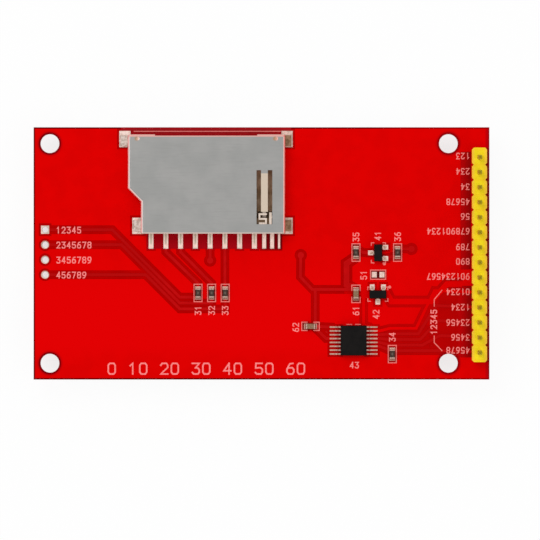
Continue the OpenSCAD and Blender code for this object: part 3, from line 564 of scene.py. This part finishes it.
def flex_finish():
    """Amber film with copper tracks under it."""
    f = Finish("flex_amber", Specular_IOR_Level=0.5)
    x, y, z = f.place()
    track = f.ramp(f.off_row(y, 0.8 * MM), 0.16 * MM, 0.22 * MM)
    cloud = f.grain(0.8 * MM, 3)
    film = f.blend(cloud, tint(196, 128, 40), tint(176, 108, 30))
    f.feed(Base_Color=f.blend(0.6 * track, film, tint(206, 140, 56)), Roughness=0.22 + 0.1 * cloud)
    return f.relief(track, 0.003 * MM, 0.25)


ink = ink_finish("number_ink", (255, 148, 145), (250, 112, 109))
solder = solder_finish()
steel = shell_finish()
track_red = track_finish()

# the board and its small parts
dress(board_finish(), "circuit_board")
dress(ink_finish("legend_ink", (250, 132, 126), (240, 104, 99)), "legend")
dress(solder, "hole_pads", "solder_lands", "header_solder")
dress(tinned_finish(), "chip_ends", "transistor_leads", "touch_chip_leads")
dress(moulded_finish("black_plastic", (20, 17, 16), (13, 11, 11), 0.08),
      "transistor", "regulator", "touch_chip")
dress(resistor_finish(), *numbered("resistor", 6))
dress(capacitor_finish(), *numbered("capacitor", 2))

# the card socket and the header
dress(steel, "card_shell")
dress(spring_finish(), "card_contacts", "switch_contacts", "lock_spring")
dress(moulded_finish("brown_plastic", (206, 176, 146), (170, 138, 104), 0.2, pit_shade), "card_body")
dress(header_finish(), "header_strip")
dress(pin_finish(), *numbered("header_pin", 14))

# the touch display
dress(film_finish(), "touch_film")
dress(sheet_finish("black_tape", (24, 24, 25), (14, 14, 15), 0.75, 0.15),
      "touch_spacer", "picture_ring", "rim_tape", "foam_tape")
dress(sheet_finish("clear_glass", (178, 206, 198), (158, 190, 182), 0.05),
      "touch_glass", "color_glass", "tft_glass")
dress(sheet_finish("polarizer", (28, 28, 32), (20, 20, 24), 0.2), "front_polarizer", "rear_polarizer")
dress(sheet_finish("silicon", (44, 44, 50), (34, 34, 40), 0.2, 0.6, 0.4), "driver_chip")
dress(sheet_finish("light_film", (238, 238, 236), (224, 224, 222), 0.5, 0.3),
      "prism_sheet", "diffuser_sheet", "reflector")
dress(sheet_finish("clear_acrylic", (228, 236, 236), (214, 224, 224), 0.08), "light_guide")
dress(sheet_finish("lamp_plastic", (244, 240, 206), (236, 230, 190), 0.4, 0.3), "lamps")
dress(flex_finish(), "lamp_strip", "main_flex", "touch_flex")
dress(moulded_finish("white_plastic", (238, 238, 234), (228, 228, 222), 0.3), "light_frame")

# ---------- softened edges ----------

def soften(width, *names):
    """Rounds the sharp edges of small moulded and soldered pieces, width in mm."""
    for name in names:
        weld = nodes[name].modifiers.new("weld", "WELD")
        weld.merge_threshold = 0.001 * MM
        bevel = nodes[name].modifiers.new("bevel", "BEVEL")
        bevel.width, bevel.segments, bevel.limit_method = width * MM, 2, "ANGLE"
        bevel.angle_limit = math.radians(35)
        bevel.harden_normals = True


soften(0.07, "header_strip")
soften(0.05, "touch_chip", "transistor", "regulator", *numbered("capacitor", 2))
soften(0.03, "solder_lands", "chip_ends", "hole_pads", *numbered("resistor", 6))

# ---------- printed numbers ----------

# the strokes of each digit, in a box one wide and one high
STROKES = {
    "0": [[(0, .18), (0, .82), (.2, 1), (.8, 1), (1, .82), (1, .18), (.8, 0), (.2, 0), (0, .18)]],
    "1": [[(.15, .78), (.5, 1), (.5, 0)]],
    "2": [[(0, .82), (.2, 1), (.8, 1), (1, .82), (1, .62), (0, 0), (1, 0)]],
    "3": [[(0, 1), (1, 1), (.45, .58), (.8, .56), (1, .4), (1, .16), (.8, 0), (.2, 0), (0, .14)]],
    "4": [[(.75, 0), (.75, 1)], [(.75, 1), (0, .3), (1, .3)]],
    "5": [[(.95, 1), (.08, 1), (.04, .56), (.75, .6), (1, .44), (1, .16), (.8, 0), (.2, 0), (0, .14)]],
    "6": [[(.85, 1), (.4, .95), (0, .45)],
          [(0, .42), (0, .18), (.2, 0), (.8, 0), (1, .18), (1, .4), (.8, .58), (.2, .58), (0, .42)]],
    "7": [[(0, 1), (1, 1), (.35, 0)]],
    "8": [[(.2, .54), (0, .7), (0, .86), (.2, 1), (.8, 1), (1, .86), (1, .7), (.8, .54), (.2, .54)],
          [(.2, .54), (0, .38), (0, .16), (.2, 0), (.8, 0), (1, .16), (1, .38), (.8, .54)]],
    "9": [[(.15, 0), (.6, .05), (1, .55)],
          [(1, .58), (1, .82), (.8, 1), (.2, 1), (0, .82), (0, .6), (.2, .42), (.8, .42), (1, .58)]],
}


def rails(points, width):
    """The two edges of a stroke, mitred at its corners."""
    closed = points[0] == points[-1]
    left, right = [], []
    for i, here in enumerate(points):
        before = points[i - 1] if i else (points[-2] if closed else None)
        after = points[i + 1] if i + 1 < len(points) else (points[1] if closed else None)
        into = (here - before).normalized() if before is not None else None
        away = (after - here).normalized() if after is not None else None
        along = ((into or away) + (away or into)).normalized()
        reach = width / 2 / max(0.5, along.dot(into or away))
        # an open end runs half a width past its point
        end = along * (-width / 2 if into is None else width / 2 if away is None else 0)
        across = Vector((-along.y, along.x)) * reach
        left.append(here + end + across)
        right.append(here + end - across)
    return left, right


def lay_stroke(mesh, points, width, low, high):
    """A flat bar of ink along a line of points, from low to high."""
    left, right = rails(points, width)
    left_low, left_high, right_low, right_high = [
        [mesh.verts.new((p.x, p.y, h)) for p in side]
        for side in (left, right) for h in (low, high)]
    for i in range(len(points) - 1):
        for a, b in ((left_high, right_high), (right_high, right_low), (right_low, left_low),
                     (left_low, left_high)):
            mesh.faces.new((a[i], b[i], b[i + 1], a[i + 1]))
    for i in (0, -1):
        mesh.faces.new([row[i] for row in (left_low, left_high, right_high, right_low)])


def lay_number(mesh, text, at, type_size, turn=0):
    """Digits on the board's face, from the lower left corner of the first one, then turned."""
    size, pitch, stroke = type_size
    wide = pitch - stroke - 0.2 * size
    c, s = math.cos(math.radians(turn)), math.sin(math.radians(turn))
    for i, digit in enumerate(text):
        for layer, line in enumerate(STROKES.get(digit, [])):
            points = []
            for u, v in line:
                x, y = i * pitch + u * wide, v * size
                points.append(Vector((at[0] + c * x - s * y, at[1] + s * x + c * y)))
            # the second stroke of a digit lies a little lower, so that no two faces share a plane
            lay_stroke(mesh, points, stroke, board_top - 0.03 * MM, legend_top - layer * 0.002 * MM)


def counting(first, count):
    """A run of digits that counts up from first."""
    return "".join(str((first + i) % 10) for i in range(count))


def finish_piece(name, mesh, finish, smooth=False):
    """Turns a mesh into a piece of the part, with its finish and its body."""
    bmesh.ops.recalc_face_normals(mesh, faces=mesh.faces)
    data = bpy.data.meshes.new(name)
    mesh.to_mesh(data)
    mesh.free()
    piece = bpy.data.objects.new(name, data)
    bpy.context.scene.collection.objects.link(piece)
    if smooth:
        data.shade_smooth()
    dress(finish, piece)
    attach(piece, "root")


# height, pitch and stroke of the digits beside the pins and the open holes, beside the small
# parts, in the header's bracket and on the lower edge
PIN_TYPE = 0.95 * MM, 0.82 * MM, 0.16 * MM
HOLE_TYPE = 0.98 * MM, 0.875 * MM, 0.17 * MM
PART_TYPE = 0.95 * MM, 0.85 * MM, 0.16 * MM
BRACKET_TYPE = 0.95 * MM, 0.87 * MM, 0.18 * MM
EDGE_TYPE = 1.8 * MM, 1.78 * MM, 0.25 * MM


def header_numbers():
    """A run of digits beside each pin, upside down and each in its own place and length."""
    mesh = bmesh.new()
    counts = [3, 3, 2, 5, 2, 9, 3, 3, 9, 5, 4, 5, 4, 5]
    rows = [16.5, 13.9, 11.3, 8.75, 6.26, 3.76, 1.1, -1.36, -3.9, -6.5, -9.1, -11.7, -14.2, -16.4]
    for i, (count, y) in enumerate(zip(counts, rows)):
        corner = strip_low.x - 0.45 * MM, (y + 0.47) * MM
        lay_number(mesh, counting(i + 1, count), corner, PIN_TYPE, 180)
    finish_piece("header_numbers", mesh, ink)


def card_signal_numbers():
    """A run of digits beside each open hole."""
    mesh = bmesh.new()
    for i, (y, count) in enumerate(zip(hole_rows, (5, 7, 7, 6))):
        lay_number(mesh, counting(i + 1, count), (-34.65 * MM, y - 0.5 * MM), HOLE_TYPE)
    finish_piece("card_signal_numbers", mesh, ink)


def part_numbers():
    """Two digits beside each small part, and a run of five in the header's bracket."""
    mesh = bmesh.new()
    # number, the middle of its line and the low end where it starts
    for text, x, low in (("31", -10.75, -10.35), ("32", -8.45, -10.35), ("33", -6.15, -10.35),
                         ("35", 16.0, 2.1), ("36", 23.05, 2.15), ("41", 19.7, 2.3),
                         ("51", 17.3, -4.35), ("61", 16.0, -10.4), ("42", 19.4, -11.0),
                         ("34", 22.15, -14.85), ("62", 5.8, -13.2)):
        lay_number(mesh, text, ((x + 0.48) * MM, low * MM), PART_TYPE, 90)
    lay_number(mesh, "43", (15.05 * MM, -19.4 * MM), PART_TYPE)
    lay_number(mesh, "12345", (29.65 * MM, -13.6 * MM), BRACKET_TYPE, 90)
    finish_piece("part_numbers", mesh, ink)


def edge_numbers():
    """A run of plain numbers along the board's lower edge."""
    mesh = bmesh.new()
    lay_number(mesh, "0 10 20 30 40 50 60", (-25.95 * MM, -20.42 * MM), EDGE_TYPE)
    finish_piece("edge_numbers", mesh, ink)


# ---------- solder fillets, bent corners and mask ----------

def round_box(low, high, grow, steps=4):
    """Points round a plan box grown outwards, with its corners rounded by as much."""
    corners = ((high.x, high.y, 0), (low.x, high.y, 90), (low.x, low.y, 180), (high.x, low.y, 270))
    return [(x + grow * math.cos(math.radians(turn + 90 * i / steps)),
             y + grow * math.sin(math.radians(turn + 90 * i / steps)))
            for x, y, turn in corners for i in range(steps + 1)]


def lay_fillet(mesh, low, high, spread, bottom, rise, steps=4):
    """Solder that climbs from a land up round a foot in a hollow curve."""
    loops = []
    for i in range(steps + 1):
        share = i / steps
        points = round_box(low, high, max(0.002 * MM, spread * (1 - share) ** 2))
        loops.append([mesh.verts.new((x, y, bottom + rise * share ** 1.6)) for x, y in points])
    for below, above in zip(loops, loops[1:]):
        for i in range(len(below)):
            j = (i + 1) % len(below)
            mesh.faces.new((below[i], below[j], above[j], above[i]))
    mesh.faces.new(loops[-1])
    mesh.faces.new(list(reversed(loops[0])))


def lay_sheet(mesh, outer, inner):
    """Sheet between an outer and an inner grid of corners, closed all round."""
    strips = [*zip(outer, outer[1:]), *zip(inner, inner[1:]),
              (outer[0], inner[0]), (outer[-1], inner[-1])]
    for a, b in strips:
        for i in range(len(a) - 1):
            mesh.faces.new((a[i], a[i + 1], b[i + 1], b[i]))
    for i in (0, -1):
        for a, b, c, d in zip(outer, outer[1:], inner[1:], inner):
            mesh.faces.new((a[i], b[i], c[i], d[i]))


def shell_corners():
    """Sheet that closes the shell's two slanted corners, where one fold runs into the next."""
    mesh = bmesh.new()
    bend, sheet, depth = 0.5 * MM, 0.25 * MM, 2.9 * MM
    # how far the mitre and the slanted wall's end move along x or y for each step inwards
    mitre, slanted = 0.414, 0.707
    # from the shell's corner in mm: the straight wall's end, the mitre and the slanted wall's end
    for wall, meet, slant in (((1.2, 7.76), (1.2, 7.648), (1.312, 7.536)),
                              ((3.4, 5.29), (3.4, 5.402), (3.288, 5.514))):
        ends = ((wall, 1, 0), (meet, 1, mitre), (slant, slanted, slanted))

        def row(inset, z):
            return [mesh.verts.new((shell_low.x + x * MM + go_x * inset,
                                    shell_low.y + y * MM + go_y * inset, z))
                    for (x, y), go_x, go_y in ends]

        skins = []
        for radius in (bend, bend - sheet):
            rows = [row(bend - radius, shell_high.z - depth)]
            for turn in range(0, 91, 15):
                c, s = math.cos(math.radians(turn)), math.sin(math.radians(turn))
                rows.append(row(bend - radius * c, shell_high.z - bend + radius * s))
            skins.append(rows)
        lay_sheet(mesh, *skins)
    finish_piece("shell_corners", mesh, steel)


def islands(faces):
    """For each face, one corner that stands for all the faces joined to it."""
    parent = {spot: spot for face in faces for spot in face}

    def root(spot):
        while parent[spot] != spot:
            parent[spot] = parent[parent[spot]]
            spot = parent[spot]
        return spot

    for face in faces:
        for spot in face[1:]:
            parent[root(spot)] = root(face[0])
    return [root(face[0]) for face in faces]


def track_mask():
    """A skin over each part of the board's face that stands apart from the wide copper field."""
    board = nodes["circuit_board"].data
    fine = 2000  # steps in a millimetre, so that corners in one place count as one
    spots = [tuple(round(c / MM * fine) for c in v.co) for v in board.vertices]
    faces = [[spots[v] for v in face.vertices] for face in board.polygons
             if face.normal.z > 0.9 and abs(face.center.z - board_top) < 0.005 * MM]
    roots = islands(faces)
    sizes = Counter(roots)
    field = max(sizes, key=lambda spot: (sizes[spot], spot))
    mesh = bmesh.new()
    made = {}
    for face in [face for face, spot in zip(faces, roots) if spot != field]:
        for spot in face:
            if spot not in made:
                made[spot] = mesh.verts.new((spot[0] * MM / fine, spot[1] * MM / fine,
                                             board_top + 0.002 * MM))
        mesh.faces.new([made[spot] for spot in face])
    for item in bmesh.ops.extrude_face_region(mesh, geom=mesh.faces[:])["geom"]:
        if isinstance(item, bmesh.types.BMVert):
            item.co.z = board_top - 0.01 * MM
    finish_piece("track_mask", mesh, track_red)


def socket_solder():
    """Fillets round the shell's four feet."""
    mesh = bmesh.new()
    soles = [v.co for v in nodes["card_shell"].data.vertices if v.co.z < land_top + 0.01 * MM]
    for right in (False, True):
        for near in (True, False):
            sole = [p for p in soles
                    if (p.x > shell_mid_x) == right and (p.y < shell_mid_y) == near]
            low = Vector((min(p.x for p in sole), min(p.y for p in sole)))
            high = Vector((max(p.x for p in sole), max(p.y for p in sole)))
            lay_fillet(mesh, low, high, 0.26 * MM, land_top - 0.01 * MM, 0.2 * MM)
    finish_piece("socket_solder", mesh, solder, smooth=True)


header_numbers()
card_signal_numbers()
part_numbers()
edge_numbers()
socket_solder()
shell_corners()
track_mask()

# ---------- stage, light and camera ----------

def rays_of(tree, *kinds):
    """1 for light rays of these kinds and 0 for all others."""
    path = tree.nodes.new("ShaderNodeLightPath")
    found = path.outputs[kinds[0]]
    for kind in kinds[1:]:
        either = tree.nodes.new("ShaderNodeMath")
        either.operation = "MAXIMUM"
        tree.links.new(found, either.inputs[0])
        tree.links.new(path.outputs[kind], either.inputs[1])
        found = either.outputs[0]
    return found


SEEN = "Is Camera Ray", "Is Glossy Ray", "Is Transmission Ray"


def floor_finish():
    """White to the eye, with painted shadow under the board and deeper under the open holes, and plain
    pale paint to other rays.
    """
    f = Finish("floor_white", Roughness=0.9, Specular_IOR_Level=0.0,
               Base_Color=(0.95, 0.95, 0.95, 1))
    x, y, z = f.place()
    board_shadow = ((1 - f.ramp(abs(x), board_high.x - 0.5 * MM, board_high.x))
             * (1 - f.ramp(abs(y), board_high.y - 0.5 * MM, board_high.y)))
    hole_row_shadow = hole_x, (hole_rows[0] + hole_rows[3]) / 2, 1.0 * MM, 4.8 * MM
    glow = f.node("ShaderNodeEmission", None, {"Strength": 1.0})
    # painted shadow under the board, deeper under the row of open holes
    share = Wire(f, rays_of(f.tree, *SEEN)) * (
        0.92 - 0.17 * board_shadow - 0.17 * f.inside(x, y, hole_row_shadow))
    mixed = f.node("ShaderNodeMixShader", None, {0: share, 1: Wire(f, f.shader.outputs[0]), 2: glow})
    f.tree.links.new(mixed.socket, f.tree.nodes["Material Output"].inputs["Surface"])
    return f


def floor():
    """The white ground, a hair below the display's face."""
    mesh = bmesh.new()
    bmesh.ops.create_grid(mesh, x_segments=2, y_segments=2, size=3.0)
    data = bpy.data.meshes.new("floor")
    mesh.to_mesh(data)
    mesh.free()
    piece = bpy.data.objects.new("floor", data)
    piece.location.z = -0.02 * MM
    bpy.context.scene.collection.objects.link(piece)
    dress(floor_finish(), piece)


def sky():
    """White all round, a little dimmer as a light than as what is seen."""
    world = bpy.data.worlds.new("studio")
    bpy.context.scene.world = world
    world.use_nodes = True
    tree = world.node_tree
    dim = tree.nodes["Background"]
    dim.inputs["Color"].default_value = (1, 1, 1, 1)
    dim.inputs["Strength"].default_value = 0.7
    bright = tree.nodes.new("ShaderNodeBackground")
    bright.inputs["Strength"].default_value = 1.0
    mixed = tree.nodes.new("ShaderNodeMixShader")
    tree.links.new(rays_of(tree, *SEEN), mixed.inputs[0])
    tree.links.new(dim.outputs[0], mixed.inputs[1])
    tree.links.new(bright.outputs[0], mixed.inputs[2])
    tree.links.new(mixed.outputs[0], tree.nodes["World Output"].inputs["Surface"])


def lamp(name, at, power, size):
    """A square lamp that points at the middle of the board."""
    data = bpy.data.lights.new(name, "AREA")
    data.energy, data.size = power, size
    piece = bpy.data.objects.new(name, data)
    piece.location = at
    piece.rotation_euler = (-Vector(at)).to_track_quat("-Z", "Y").to_euler()
    bpy.context.scene.collection.objects.link(piece)


def camera():
    """Straight above, far enough away that the view is nearly flat."""
    middle_x, middle_y, height = 1.44 * MM, -2.81 * MM, 1.5
    width_seen = 91.45 * MM  # at the board's face
    data = bpy.data.cameras.new("camera")
    data.sensor_width = 36
    data.lens = data.sensor_width * (height - board_top) / width_seen
    data.clip_start, data.clip_end = 0.1, 10
    piece = bpy.data.objects.new("camera", data)
    piece.location = (middle_x, middle_y, height)
    bpy.context.scene.collection.objects.link(piece)
    bpy.context.scene.camera = piece


floor()
sky()
lamp("key", (-0.35, 0.4, 0.8), 2.3, 0.5)
lamp("fill", (0.45, -0.3, 0.7), 1.0, 0.7)
camera()
bpy.context.scene.view_settings.view_transform = "Standard"
